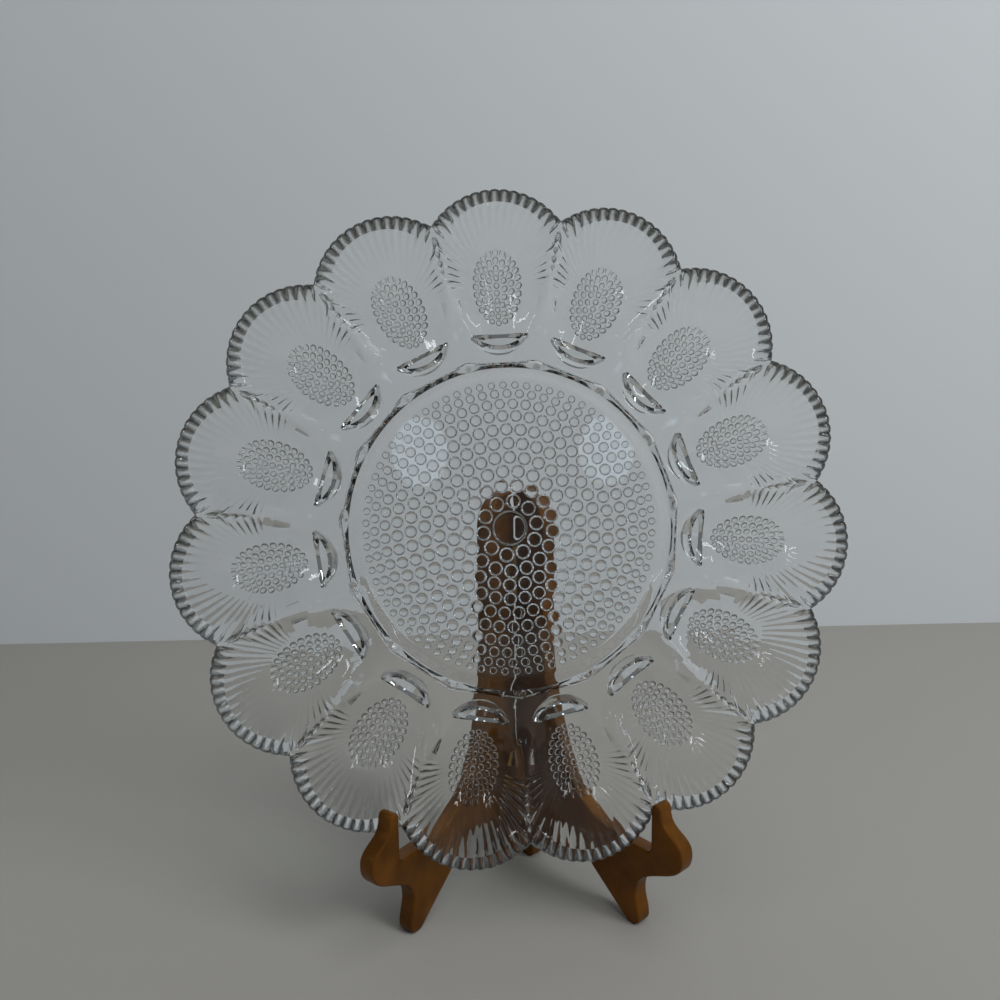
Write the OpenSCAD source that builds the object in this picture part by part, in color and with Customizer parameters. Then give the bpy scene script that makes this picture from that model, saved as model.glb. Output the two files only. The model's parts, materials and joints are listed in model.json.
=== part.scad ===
// Pressed-glass egg platter on a folding plate stand.
// X runs to the right, Y away from the viewer and Z up from the floor.
// The platter is drawn flat, its feet on Z = 0, and then stood up against the stand.

/* [Platter] */
// Diameter of the platter over the tips of its petals
platter_d = 283; // [270:1:300]
// Diameter over the notches between the petals
notch_d = 260; // [252:1:264]
// Height of the rim above the feet when the platter lies flat
platter_h = 30; // [27:1:34]
// Height at which the land between the dish and the wells lies
land_h = 14.5; // [12:0.5:16]
// Thickness of the floor of the dish and of the wells
floor_t = 4; // [3:0.1:5]
// Thickness of the glass round the dish and under the land
wall_t = 4.5; // [3:0.1:5.5]
// Height of the small feet under the platter's floor
foot_h = 1.5; // [1:0.1:2]

/* [Dish and wells] */
// Diameter of the round dish at its upper edge
dish_d = 140; // [136:1:144]
// Width of the dish's sloping side
dish_side_w = 3.4; // [2.4:0.2:6]
// Distance from the platter's centre to the centre of each well
well_r = 107; // [105:0.5:109]
// Length of each well's oval floor, along the radius
well_l = 36; // [33:0.5:38]
// Width of each well's oval floor
well_w = 25; // [23:0.5:26]

/* [Rim] */
// Width of the flat rim, its bevel included
rim_w = 6; // [4:0.5:7]
// Width of the bevel round the rim's outer side
rim_bevel_w = 2.8; // [1.5:0.1:3.5]
// Depth of that bevel
rim_bevel_h = 2.5; // [1.5:0.1:4]

/* [Platter's feet] */
// Distance from the platter's centre to the straight side of each foot
foot_r = 85; // [84:0.5:86]
// Length of each foot's straight side
foot_l = 25; // [20:0.5:26]
// Width of each foot at its middle
foot_w = 7; // [5:0.1:7.5]

/* [Place of the platter] */
// Angle at which the platter leans back
lean = 6.5; // [5:0.5:8]
// Angle by which the platter is turned in the stand
turn = 2.35; // [0:0.05:3]
// Distance by which the platter sits to the left in the stand
shift_left = 2.9; // [0:0.1:4]
// Clearance between the glass and the stand
rest_gap = 0.3; // [0.2:0.05:0.6]

/* [Stand] */
// Height of the two boards
board_h = 178; // [160:1:190]
// Thickness of each board
board_t = 7.5; // [6:0.5:9]
// Half of the angle at which the boards stand open
open_half = 38; // [34:0.5:40]
// Distance from the hinge axis to the front of the upright
upright_w = 19.3; // [16:0.1:21]
// Distance by which the belly stands out in front of the hook
belly_out = 10.6; // [8:0.2:14]
// Height of the seat under the rim
seat_z = 35.5; // [30:0.5:38]
// Height of the hook's tip
hook_z = 57; // [53:0.5:60]
// Width of the hook at its tip
tip_w = 4.8; // [3:0.1:6]
// Height of the front of the belly
belly_z = 39; // [36:0.5:42]
// Distance from the hinge axis to the front of the front foot's ankle
ankle_u = 74; // [70:0.5:78]
// Height of the ankle
ankle_z = 15; // [12:0.5:18]
// Gap between each board and the middle when the stand is folded shut
fold_gap = 0.25; // [0.2:0.05:0.5]

/* [Hinges] */
// Height of the middle of the upper hinge
upper_hinge_z = 140; // [130:1:150]
// Height of the middle of the lower hinge
lower_hinge_z = 45; // [35:1:60]
// Height of a hinge
hinge_h = 24; // [20:1:30]
// Width of a hinge leaf
leaf_w = 7; // [6:0.1:7.4]
// Thickness of a hinge leaf
leaf_t = 0.8; // [0.6:0.1:1]
// Diameter of the rolled knuckles
knuckle_d = 3.4; // [3:0.1:4]
// Diameter of the hinge pin
pin_d = 1.6; // [1.2:0.1:1.8]
// Diameter of a screw's shank
screw_d = 1.6; // [1.2:0.1:2]
// Length of a screw's shank
screw_l = 8; // [5:0.5:10]
// Diameter of a screw's head
screw_head_d = 3.2; // [2.6:0.1:3.6]
// Height of a screw's head
screw_head_h = 0.9; // [0.6:0.1:1.2]

/* [Hidden] */

// Fits
pin_gap = 0.05;
knuckle_gap = 0.3;
screw_gap = 0.05;
cut_over = 0.5;

// Well pattern
well_count = 15;
well_step = 360 / well_count;
half_step = well_step / 2;

// Share of its length by which a bowl's slope is drawn out on the side of the dish
inner_share = 0.55;
// Power with which the wells' bowls rise from their middle line to the rim
bowl_power = 1.7;
// Rise of the land from the wells' inner ends outwards
land_slope = 0.45;
// Where that rise starts, as a share of the distance to the wells' centres
land_rise_share = 0.84;
// Softness of the edge between the land and the wells
edge_soft = 1.2;

// Petal arcs: each passes through a tip and the two notches beside it
tip_r = platter_d / 2;
notch_r = notch_d / 2;
notch_p = notch_r * cos(half_step);
notch_s = notch_r * sin(half_step);
petal_r = ((tip_r - notch_p) ^ 2 + notch_s ^ 2) / (2 * (tip_r - notch_p));
petal_c = tip_r - petal_r;

// Heights in the flat platter
dish_r = dish_d / 2;
floor_z = foot_h + floor_t;
edge_z = platter_h - rim_bevel_h;
land_p = dish_r + wall_t * 2 / 3;
land_under_z = max(foot_h, land_h - wall_t);

// A well is a bowl round a short line along the radius
slot_half = (well_l - well_w) / 2;

// Radius of the petal outline, drawn in by inset, at angle a from the petal's middle
function petal_at(a, inset) =
    petal_c * cos(a) + sqrt((petal_r - inset) ^ 2 - (petal_c * sin(a)) ^ 2);

// Distance of a point of the wedge to the slot's middle line
function slot_d(p, s) =
    norm([max(0, abs(p - well_r) - slot_half) * (p < well_r ? inner_share : 1), s]);

// Line that is flat and then climbs, with a soft change between the two
function climb(x, soft) = (x + sqrt(x ^ 2 + 4 * soft ^ 2)) / 2;

// The lower of two heights, with a soft change between them
function soft_min(a, b, soft) = (a + b - sqrt((a - b) ^ 2 + soft ^ 2)) / 2;

function smooth(t) = let (c = min(1, max(0, t))) c * c * (3 - 2 * c);

// Height of a well's surface, which reaches level at radius end_r
function well_height(r, a, base, end_r, level) =
    let (
        d = slot_d(r * cos(a), r * sin(a)),
        end_d = slot_d(end_r * cos(a), end_r * sin(a))
    )
    base + (level - base) * (d / end_d) ^ bowl_power;

// Height of the land, which starts to rise at a share of the wells' distance
function land_height(p, base) =
    base + climb(land_slope * (p - well_r * land_rise_share), edge_soft);

function top_z(r, a) =
    let (
        lip = petal_at(a, rim_w),
        well = well_height(r, a, floor_z, lip, platter_h),
        land = land_height(r * cos(a), land_h),
        dish = floor_z + (land_h - floor_z) * smooth((r - dish_r + dish_side_w) / dish_side_w)
    )
    r < dish_r ? dish : min(platter_h, soft_min(well, land, edge_soft));

function under_z(r, a) =
    let (
        out = petal_at(a, 0),
        well = well_height(r, a, foot_h, out, edge_z),
        land = land_height(r * cos(a), land_under_z),
        t = (r - dish_r) / (land_p - dish_r)
    )
    r < dish_r ? foot_h
        : r < land_p ? foot_h + (soft_min(well, land, edge_soft) - foot_h) * smooth(t)
        : max(foot_h, min(edge_z, soft_min(well, land, edge_soft)));

// Inner side of a foot: an arc from one end of the straight side to the other
foot_arc_r = ((foot_l / 2) ^ 2 + foot_w ^ 2) / (2 * foot_w);
function foot_inner(a) =
    let (
        c = foot_r - foot_w + foot_arc_r,
        q = foot_arc_r ^ 2 - (c * sin(a)) ^ 2
    )
    q > 0 ? c * cos(a) - sqrt(q) : foot_r;
foot_draft = 0.5;
foot_half_a = atan2(foot_l / 2, foot_r);

// Angles of the rays of one wedge, as shares of half a wedge
ray_shares = [-1, -0.84, -0.66, -0.34, 0, 0.34, 0.66, 0.84];
rays = [for (k = [0 : well_count - 1]) for (s = ray_shares) [k * well_step, s * half_step]];

// Rings of points, as shares of the way across each stretch
dish_shares = [0.3, 0.93];
side_shares = [0, 0.25, 0.5, 0.75, 0.999];
well_shares = [0, 0.07, 0.15, 0.23, 0.31, 0.4, 0.52, 0.64, 0.74, 0.82, 0.9, 0.96, 1];
under_well_shares = [1, 0.94, 0.88, 0.81, 0.73, 0.65, 0.56, 0.46, 0.36, 0.26, 0.17, 0.08];

// Radii and heights of the points along one ray, from the middle of the upper side
// over the rim to the middle of the under side
function ray_points(a) =
    let (
        lip = petal_at(a, rim_w),
        out = petal_at(a, 0),
        land_r = land_p / cos(a),
        in_foot = abs(a) < foot_half_a,
        f_out = foot_r / cos(a),
        f_in = min(f_out - 3 * foot_draft, foot_inner(a)),
        f_z = in_foot ? 0 : under_z(f_out, a),
        after = f_out + foot_draft
    )
    [
        for (t = dish_shares) [t * (dish_r - dish_side_w), floor_z],
        for (t = side_shares)
            let (r = dish_r - dish_side_w + t * dish_side_w) [r, top_z(r, a)],
        for (t = well_shares)
            let (r = land_r + t * (lip - land_r)) [r, t < 1 ? top_z(r, a) : platter_h],
        [out - rim_bevel_w, platter_h],
        [out, edge_z],
        for (t = under_well_shares)
            if (t < 1) let (r = after + t * (out - after)) [r, under_z(r, a)],
        [after, under_z(after, a)],
        [f_out, f_z],
        [f_in + foot_draft, in_foot ? 0 : under_z(f_in + foot_draft, a)],
        [f_in, under_z(f_in, a)],
        [land_p, under_z(land_p, a)],
        [(land_p + dish_r) / 2, under_z((land_p + dish_r) / 2, a)],
        [dish_r, foot_h],
        [dish_r * dish_shares[0], foot_h]
    ];

module flat_platter() {
    rows = [for (ray = rays) ray_points(ray[1])];
    n = len(rows[0]);
    m = len(rays);
    // Wedges are counted from the well at the top, so a ray's angle is off the Y axis
    ring_points = [
        for (k = [0 : m - 1]) for (q = rows[k])
            [-q[0] * sin(rays[k][0] + rays[k][1]), q[0] * cos(rays[k][0] + rays[k][1]), q[1]]
    ];
    top_mid = m * n;
    under_mid = top_mid + 1;
    points = concat(ring_points, [[0, 0, floor_z], [0, 0, foot_h]]);
    faces = [
        for (k = [0 : m - 1]) let (a = k * n, b = ((k + 1) % m) * n)
            each concat(
                [[top_mid, b, a], [under_mid, a + n - 1, b + n - 1]],
                [for (i = [0 : n - 2]) each [[a + i, b + i, b + i + 1], [a + i, b + i + 1, a + i + 1]]]
            )
    ];
    polyhedron(points = points, faces = faces, convexity = 6);
}

// Places: the hinge axis carries the boards, and the platter rests against them
cg = cos(open_half);
sg = sin(open_half);
back_u = fold_gap;
leaf_u = knuckle_d / 2 + rest_gap / 2;
outer_n = fold_gap + board_t;
touch_z = board_h - (upright_w - back_u) / 2;
corner_y = fold_gap * sg - upright_w * cg;

// Planes of the leaning platter, as distances in front of the hinge axis at the seat
edge_y = corner_y - rest_gap - (touch_z - seat_z) * tan(lean) - (edge_z - foot_h) / cos(lean);
rim_y = edge_y - rim_bevel_h / cos(lean);

// Stretch of the rim that crosses each board, to either side of the stand's middle
seat_x_in = -edge_y * tan(open_half) + fold_gap / cg;
seat_x_out = -edge_y * tan(open_half) + outer_n / cg;

// Lowest point of the rim over a stretch to one side, below the platter's centre
probe_step = 0.25;
function fold_angle(a) = let (m = (a + half_step) % well_step) (m < 0 ? m + well_step : m) - half_step;
function rim_drop(low, high, side) =
    max([
        for (a = [0 : probe_step : 60])
            let (r = petal_at(fold_angle(a - half_step - side * turn), 0), x = r * sin(a))
            if (x > low && x < high) r * cos(a)
    ]);
drop = max(
    rim_drop(seat_x_in + shift_left, seat_x_out + shift_left, 1),
    rim_drop(seat_x_in - shift_left, seat_x_out - shift_left, -1)
);

platter_z = seat_z + rest_gap + drop * cos(lean) - edge_z * sin(lean);
platter_dy = edge_y + (platter_z - seat_z) * tan(lean) + edge_z / cos(lean);

// Slot between the seat and the hook
wall_u = (outer_n * sg + rest_gap - rim_y) / cg;
reach = wall_u + tip_w + belly_out;
seat_round = 3;
seat_back_share = 0.8;

// Frame: the middle of the part's box, on the floor
petal_xs = [for (ray = rays) -petal_at(ray[1], 0) * sin(ray[0] + ray[1] + turn)];
platter_x = -(max(petal_xs) + min(petal_xs)) / 2;
stand_x = platter_x + shift_left;
screw_n = fold_gap + board_t / 2 + knuckle_d / 8;
head_u = leaf_u - leaf_t - screw_head_h;
front_y = fold_gap * sg - reach * cg;
back_y = max(outer_n * sg - back_u * cg, (screw_n + screw_head_d / 2) * sg - head_u * cg);
hinge_y = -(front_y + back_y) / 2;

// Arcs and curves of the boards' outline
arc_steps = 8;
curve_steps = 10;
function arc(c, r, from, to) =
    [for (i = [0 : arc_steps]) c + r * [cos(from + (to - from) * i / arc_steps),
                                         sin(from + (to - from) * i / arc_steps)]];
function curve(p0, p1, p2, p3) =
    [for (i = [1 : curve_steps]) let (t = i / curve_steps, u = 1 - t)
        u ^ 3 * p0 + 3 * u ^ 2 * t * p1 + 3 * u * t ^ 2 * p2 + t ^ 3 * p3];

// Shape of the top, the belly, the feet and the arch
top_fall = 16;
top_heel = 2;
toe_round = 3.6;
toe_out = 2;
toe_back = 6.5;
heel_w = 11;
heel_round = 3.5;
arch_top_z = 23;
arch_top_u = 32;
arch_front_u = 50;
arch_front_z = 15;
neck_u = 80;
neck_z = 24.5;
ramp_top_z = 108;
ramp_u = 32.5;
ramp_z = 57;
ramp_run = 4.5;
ramp_fall = 2.1;

function board_outline() =
    let (
        tip_half = tip_w / 2,
        tip_c = [wall_u + tip_half, hook_z - tip_half],
        tip_front = tip_c + [tip_half, 0],
        belly = [reach, belly_z],
        neck = [neck_u, neck_z],
        ankle = [ankle_u, ankle_z],
        toe_c = [ankle_u + toe_out - toe_round, toe_round],
        sole_c = [ankle_u - toe_back + toe_round, toe_round],
        heel_c = [heel_w - heel_round, heel_round],
        sole_a = atan2(arch_front_z - toe_round, sole_c[0] - arch_front_u),
        seat_start = [seat_back_share * wall_u, seat_z],
        top_rear = [back_u + top_heel, board_h],
        top_front = [upright_w, board_h - top_fall],
        ramp_top = [upright_w, ramp_top_z],
        ramp_mid = [ramp_u, ramp_z],
        ramp_turn = ramp_run * [1, -ramp_fall]
    )
    concat(
        arc([back_u + top_heel, board_h - top_heel], top_heel, 180, 90),
        curve(top_rear, top_rear + [0.55 * (upright_w - top_rear[0]), 0],
              top_front + [0, 0.55 * top_fall], top_front),
        [ramp_top],
        curve(ramp_top, ramp_top - [0, 0.35 * (ramp_top_z - ramp_z)],
              ramp_mid - ramp_turn, ramp_mid),
        curve(ramp_mid, ramp_mid + ramp_turn,
              seat_start - [0.56 * (seat_start[0] - ramp_u), 0], seat_start),
        arc([wall_u - seat_round, seat_z + seat_round], seat_round, -90, 0),
        arc(tip_c, tip_half, 180, 0),
        curve(tip_front, tip_front - [0, 0.55 * (hook_z - belly_z)],
              [reach, belly_z + 0.5 * (hook_z - belly_z)], belly),
        curve(belly, [reach, belly_z - 0.6 * (belly_z - neck_z)],
              neck + [0.5 * (reach - neck_u), 0.35 * (belly_z - neck_z)], neck),
        curve(neck, neck - [0.6 * (neck_u - ankle_u), 0.2 * (neck_z - ankle_z)],
              ankle + [0, 0.5 * (neck_z - ankle_z)], ankle),
        curve(ankle, ankle - [0, 0.4 * (ankle_z - toe_round)],
              toe_c + [toe_round, 0.4 * (ankle_z - toe_round)], toe_c + [toe_round, 0]),
        arc(toe_c, toe_round, 0, -90),
        arc(sole_c, toe_round, -90, -90 - sole_a),
        [[arch_front_u, arch_front_z]],
        curve([arch_front_u, arch_front_z],
              [arch_front_u - 0.4 * (arch_front_u - arch_top_u), arch_top_z],
              [arch_top_u + 0.1 * (arch_front_u - arch_top_u), arch_top_z],
              [arch_top_u, arch_top_z]),
        curve([arch_top_u, arch_top_z], [heel_w + 0.35 * (arch_top_u - heel_w), arch_top_z],
              [heel_w, 0.75 * arch_top_z], [heel_w, heel_round]),
        arc(heel_c, heel_round, 0, -90),
        arc([back_u + heel_round, heel_round], heel_round, -90, -180)
    );

// Stands a piece of the right half at its place: local X runs forward along the board,
// and local Y out from its inner face
module right_half() {
    translate([stand_x, hinge_y, 0]) rotate([0, 0, open_half - 90]) children();
}

module left_half() {
    translate([stand_x, hinge_y, 0]) mirror([1, 0, 0]) rotate([0, 0, open_half - 90]) children();
}

// Screws stand in two rows, one in each half of a hinge's height
screw_rise = hinge_h / 4;
// Recess in a board's rear edge, in which a hinge sits
pin_head_h = 0.8;
recess_h = hinge_h + 2 * pin_head_h + 2 * knuckle_gap;
screw_zs = [for (h = [upper_hinge_z, lower_hinge_z]) for (s = [-1, 1]) h + s * screw_rise];

module board() {
    difference() {
        translate([0, outer_n, 0]) rotate([90, 0, 0])
            linear_extrude(board_t) polygon(board_outline());
        for (z = [upper_hinge_z, lower_hinge_z])
            translate([back_u - cut_over, -cut_over, z - recess_h / 2])
                cube([leaf_u - back_u + cut_over, outer_n + 2 * cut_over, recess_h]);
        for (z = screw_zs)
            translate([leaf_u - cut_over, screw_n, z]) rotate([0, 90, 0])
                cylinder(d = screw_d + 2 * screw_gap, h = screw_l + cut_over, $fn = 24);
    }
}

// Knuckles: the outer two are rolled on the left leaf and the middle one on the right leaf
knuckle_l = (hinge_h - 2 * knuckle_gap) / 3;
outer_starts = [-hinge_h / 2, hinge_h / 2 - knuckle_l];
middle_starts = [-knuckle_l / 2];

module leaf(mid_z, starts, other_starts) {
    translate([0, 0, mid_z]) difference() {
        union() {
            translate([leaf_u - leaf_t, 0, -hinge_h / 2]) cube([leaf_t, leaf_w, hinge_h]);
            for (z = starts)
                translate([0, 0, z]) cylinder(d = knuckle_d, h = knuckle_l, $fn = 48);
        }
        for (z = other_starts)
            translate([0, -cut_over, z - knuckle_gap])
                cube([leaf_u + cut_over, knuckle_d / 2 + knuckle_gap + cut_over,
                      knuckle_l + 2 * knuckle_gap]);
        translate([0, 0, -hinge_h]) cylinder(d = pin_d + 2 * pin_gap, h = 2 * hinge_h, $fn = 32);
        for (s = [-1, 1])
            translate([leaf_u - leaf_t - cut_over, screw_n, s * screw_rise]) rotate([0, 90, 0])
                cylinder(d = screw_d + 2 * screw_gap, h = leaf_t + 2 * cut_over, $fn = 24);
    }
}

// Pin with a flat head at its lower end and its upper end
module hinge_pin(mid_z) {
    color("darkgoldenrod") translate([stand_x, hinge_y, mid_z]) union() {
        translate([0, 0, -hinge_h / 2 - pin_head_h / 2])
            cylinder(d = pin_d, h = hinge_h + pin_head_h, $fn = 32);
        for (z = [-hinge_h / 2 - pin_head_h, hinge_h / 2])
            translate([0, 0, z]) cylinder(d = knuckle_d - leaf_t, h = pin_head_h, $fn = 32);
    }
}

// Round-headed screws with a driver slot
slot_w = 0.5;
slot_deep = 0.4;
module screws() {
    for (z = screw_zs)
        translate([leaf_u - leaf_t, screw_n, z]) rotate([0, 90, 0]) difference() {
            union() {
                cylinder(d = screw_d, h = leaf_t + screw_l - cut_over, $fn = 24);
                translate([0, 0, -screw_head_h]) cylinder(d = screw_head_d, h = screw_head_h, $fn = 32);
            }
            translate([-screw_head_d, -slot_w / 2, -screw_head_h - cut_over])
                cube([2 * screw_head_d, slot_w, slot_deep + cut_over]);
        }
}

module platter() {
    color([0.8, 0.85, 0.85, 0.5])
        translate([platter_x, hinge_y + platter_dy, platter_z])
            rotate([90 - lean, 0, 0]) rotate([0, 0, turn]) flat_platter();
}

module left_board() {
    color("#6b4818") left_half() board();
}

module right_board() {
    color("#6b4818") right_half() board();
}

module left_leaf(mid_z) {
    color("goldenrod") left_half() leaf(mid_z, outer_starts, middle_starts);
}

module right_leaf(mid_z) {
    color("goldenrod") right_half() leaf(mid_z, middle_starts, outer_starts);
}

module left_hinge_screws() {
    color("darkgoldenrod") left_half() screws();
}

module right_hinge_screws() {
    color("darkgoldenrod") right_half() screws();
}

platter();
left_board();
right_board();
left_leaf(upper_hinge_z);  // upper_hinge_left_leaf
right_leaf(upper_hinge_z);  // upper_hinge_right_leaf
hinge_pin(upper_hinge_z);  // upper_hinge_pin
left_leaf(lower_hinge_z);  // lower_hinge_left_leaf
right_leaf(lower_hinge_z);  // lower_hinge_right_leaf
hinge_pin(lower_hinge_z);  // lower_hinge_pin
left_hinge_screws();
right_hinge_screws();
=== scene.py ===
"""Pressed-glass egg platter on a folding plate stand."""

import json
import math

import bmesh
import bpy
from bpy.props import FloatProperty, FloatVectorProperty, PointerProperty
from mathutils import Matrix, Vector
from mathutils.geometry import delaunay_2d_cdt


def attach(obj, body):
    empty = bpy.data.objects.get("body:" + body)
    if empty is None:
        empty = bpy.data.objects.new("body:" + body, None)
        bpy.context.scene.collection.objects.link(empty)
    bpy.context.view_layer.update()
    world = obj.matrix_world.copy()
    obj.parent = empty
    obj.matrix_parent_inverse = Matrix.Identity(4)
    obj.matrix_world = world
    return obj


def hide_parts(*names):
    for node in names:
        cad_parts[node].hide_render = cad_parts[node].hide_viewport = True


bl_info = {
    "name": "Egg platter on a plate stand",
    "version": (1, 0, 0),
    "blender": (4, 5, 0),
    "location": "3D View > Sidebar > Egg platter",
    "description": "Builds a pressed-glass egg platter, its folding stand and a plain studio",
    "category": "Object",
}

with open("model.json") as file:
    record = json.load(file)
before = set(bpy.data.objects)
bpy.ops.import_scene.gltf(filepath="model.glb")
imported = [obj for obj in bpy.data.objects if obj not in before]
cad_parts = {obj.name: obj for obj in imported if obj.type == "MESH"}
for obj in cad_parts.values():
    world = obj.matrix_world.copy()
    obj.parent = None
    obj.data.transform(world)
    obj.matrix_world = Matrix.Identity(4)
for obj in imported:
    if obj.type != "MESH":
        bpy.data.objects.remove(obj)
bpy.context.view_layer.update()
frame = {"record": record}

MM = 0.001


def srgb(text):
    """Turns an sRGB hex colour into linear values."""
    values = [int(text[i:i + 2], 16) / 255 for i in (1, 3, 5)]
    return tuple(v / 12.92 if v <= 0.04045 else ((v + 0.055) / 1.055) ** 2.4 for v in values)


def size(name, text, value, low, high):
    """A length in millimetres."""
    return FloatProperty(name=name, description=text, default=value, min=low, max=high,
                         unit="NONE")


def colour(name, text, value):
    """A colour given as an sRGB hex value."""
    return FloatVectorProperty(name=name, description=text, default=srgb(value), size=3,
                               min=0, max=1, subtype="COLOR")


class PlatterSettings(bpy.types.PropertyGroup):
    """Sizes in millimetres and colours of the glass."""
    nail_d: size("Well hobnail", "Diameter of a hobnail under a well", 3.2, 2, 4)
    nail_pitch: size("Well hobnail pitch", "Distance between hobnails under a well", 3.5, 3, 5)
    nail_h: size("Well hobnail height", "Height of a hobnail under a well", 1.2, 0.3, 1.4)
    dish_nail_h: size("Dish hobnail height", "Height of a hobnail under the dish", 2.1, 0.3, 2.2)
    middle_nail_d: size("Middle hobnail", "Diameter of the hobnail in the middle", 15.8, 8, 16)
    flute_depth: size("Flute depth", "Depth of the soft flutes in the petals", 0.5, 0, 0.7)
    tooth_depth: size("Tooth depth", "Depth of the sharp grooves between the flutes at the rim",
                      1.25, 0, 1.5)
    rim_scallop: size("Rim scallop", "Depth of the notches that the flutes cut in the rim",
                      1.1, 0, 1.5)
    tint: colour("Tint", "Colour that thick glass takes on", "#a9b8b2")


class StandSettings(bpy.types.PropertyGroup):
    """Sizes in millimetres and colours of the stand."""
    edge_round: size("Edge rounding", "Rounding of the boards' edges", 1.0, 0.3, 2.2)
    bronze: colour("Bronze", "Colour of the metallic paint", "#7a4c17")
    shade: colour("Dark bronze", "Colour of the paint where it is thin or worn", "#5c3810")
    brass: colour("Brass", "Colour of the hinges and screws", "#b08d4a")


class StageSettings(bpy.types.PropertyGroup):
    """Camera, floor, wall and lights."""
    lens: FloatProperty(name="Lens", description="Focal length of the camera", default=26.63,
                        min=20, max=80, unit="CAMERA")
    key: FloatProperty(name="Key light", description="Power that all lights are shares of",
                       default=9.0, min=0, max=60, unit="POWER")
    fill: FloatProperty(name="Fill", description="Strength of the room's even light", default=0.13,
                        min=0, max=2)
    wall: colour("Wall", "Colour of the wall", "#c3c6c8")
    floor: colour("Floor", "Colour of the floor", "#8f8c87")


# Sizes in millimetres. The platter's are in its own frame: it lies flat with its middle at the
# origin. In a wedge, p runs outwards along the well's axis and s beside it.
WELLS = 15
STEP = math.radians(24)
TIP_R, NOTCH_R = 141.5, 130.0
RIM_W, RIM_DROP = 6.0, 2.5
PLATTER_H, LAND_H, FLOOR_T, WALL_T, FOOT_H = 30.0, 14.5, 4.0, 4.5, 1.5
DISH_R, DISH_SIDE = 70.0, 3.4
WELL_R, WELL_L, WELL_W = 107.0, 36.0, 25.0
POWER, LAND_SLOPE, RISE_P, SOFT, INNER = 1.7, 0.45, WELL_R * 0.84, 1.2, 0.55
FLOOR_Z = FOOT_H + FLOOR_T
EDGE_Z = PLATTER_H - RIM_DROP
LAND_P = DISH_R + WALL_T * 2 / 3
LAND_UNDER = LAND_H - WALL_T
SLOT = (WELL_L - WELL_W) / 2
FOOT_R, FOOT_L, FOOT_W = 85.0, 25.0, 7.0
D_POINTS = 15
FOOT_SLOPE, FOOT_TOP_Z = 1.9, 9.0
# Underside of the dish floor between its hobnails, and the drop of the 15-sided ledge round it
DISH_Z = 2.3
LEDGE = 1.3
# Strips between the wells and the dish floor. Those beyond SIDED_R have 15 straight sides, the
# others are circles. Short steps beside a steep face keep the shading of its neighbours flat.
SIDED_R = 71.0
TOP_ROWS = (LAND_P, 71.9, 71.5, DISH_R, 69.66, 69.15, 68.3, 67.45, 66.94, DISH_R - DISH_SIDE,
            66.0)
UNDER_ROWS = (LAND_P, 71.6, 70.0, 68.4, 66.8, 66.4)
UNDER_ZS = (7.2, 4.6, 2.9, DISH_Z, DISH_Z)
HALF_R = 30.0
# Dish hobnails: each ring's radius, diameter and number, smaller towards the dish's side
DISH_NAILS = ((12.1, 6.9, 10), (19.2, 6.6, 17), (25.5, 6.3, 23), (31.7, 6.1, 30), (38.0, 6.0, 37),
              (44.2, 5.8, 44), (50.2, 5.5, 52), (55.6, 4.9, 60), (60.2, 4.2, 68), (64.0, 3.4, 76))
NP, NS = NOTCH_R * math.cos(STEP / 2), NOTCH_R * math.sin(STEP / 2)
PETAL_R = ((TIP_R - NP) ** 2 + NS ** 2) / (2 * (TIP_R - NP))
PETAL_C = TIP_R - PETAL_R
CORNER = math.atan2(NS, NP - WELL_R)
FLUTES = 50
FLUTE_A = 2 * math.pi / FLUTES
FLUTE_STEPS = 6
# Shares of the way from a well's oval to its wedge's edge, and from its centre to the rim
UNDER_SHARES = (0, 0.12, 0.3, 0.5, 0.66, 0.8, 0.92, 1)
TOP_SHARES = (0, 0.22, 0.44, 0.64, 0.82, 1)
OVAL_MARGIN = 0.35
# Rings of points on a hobnail, as shares of its radius
WELL_RINGS = (1.0, 0.75)
DISH_RINGS = (1.0, 0.92, 0.72, 0.4)
MIDDLE_RINGS = (1.0, 0.98, 0.94, 0.88, 0.8, 0.71, 0.62, 0.58, 0.3)
WELL_SIDES, DISH_SIDES = 8, 11
BIG_D = 10.0
FLAT_SHARE = 0.6

# Places in the frame: the platter leans back and is turned a little in its seats
LEAN, TURN = math.radians(6.5), math.radians(2.35)
PLATTER_X, STAND_X, HINGE_Y = -0.606, 2.294, 35.834
PLATTER_DY, PLATTER_Z = -14.513, 162.615
# Keeps the glass with its relief just inside the frame's box
FIT = 0.9974
# Angle at which each board stands open
OPEN = math.radians(38)
# Edges with a sharper turn than this are drawn sharp
SHADE_GLASS, SHADE_BOARD, SHADE_BRASS = math.radians(38), math.radians(40), math.radians(35)


# Forms of the glass

def petal_at(a, inset=0.0):
    """Distance from the platter's middle to the petal's edge in direction a."""
    across = (PETAL_C * math.sin(a)) ** 2
    return PETAL_C * math.cos(a) + math.sqrt((PETAL_R - inset) ** 2 - across)


def slot_d(p, s):
    """Distance from the middle line of a well's oval floor, stretched on the inner side."""
    return math.hypot(max(0.0, abs(p - WELL_R) - SLOT) * (INNER if p < WELL_R else 1), s)


def smooth(t):
    """Rises from 0 to 1 with level ends."""
    t = min(1.0, max(0.0, t))
    return t * t * (3 - 2 * t)


def climb(x):
    """0 before x = 0 and x after it, with a soft bend."""
    return (x + math.sqrt(x * x + 4 * SOFT * SOFT)) / 2


def soft_min(a, b):
    """The smaller of two heights, with a soft crease."""
    return (a + b - math.sqrt((a - b) ** 2 + SOFT * SOFT)) / 2


def bowl(r, a, base, end_r, level):
    """Height of a well that rises from base at its oval to level at distance end_r."""
    d = slot_d(r * math.cos(a), r * math.sin(a))
    e = slot_d(end_r * math.cos(a), end_r * math.sin(a))
    return base + (level - base) * (d / e) ** POWER


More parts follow.
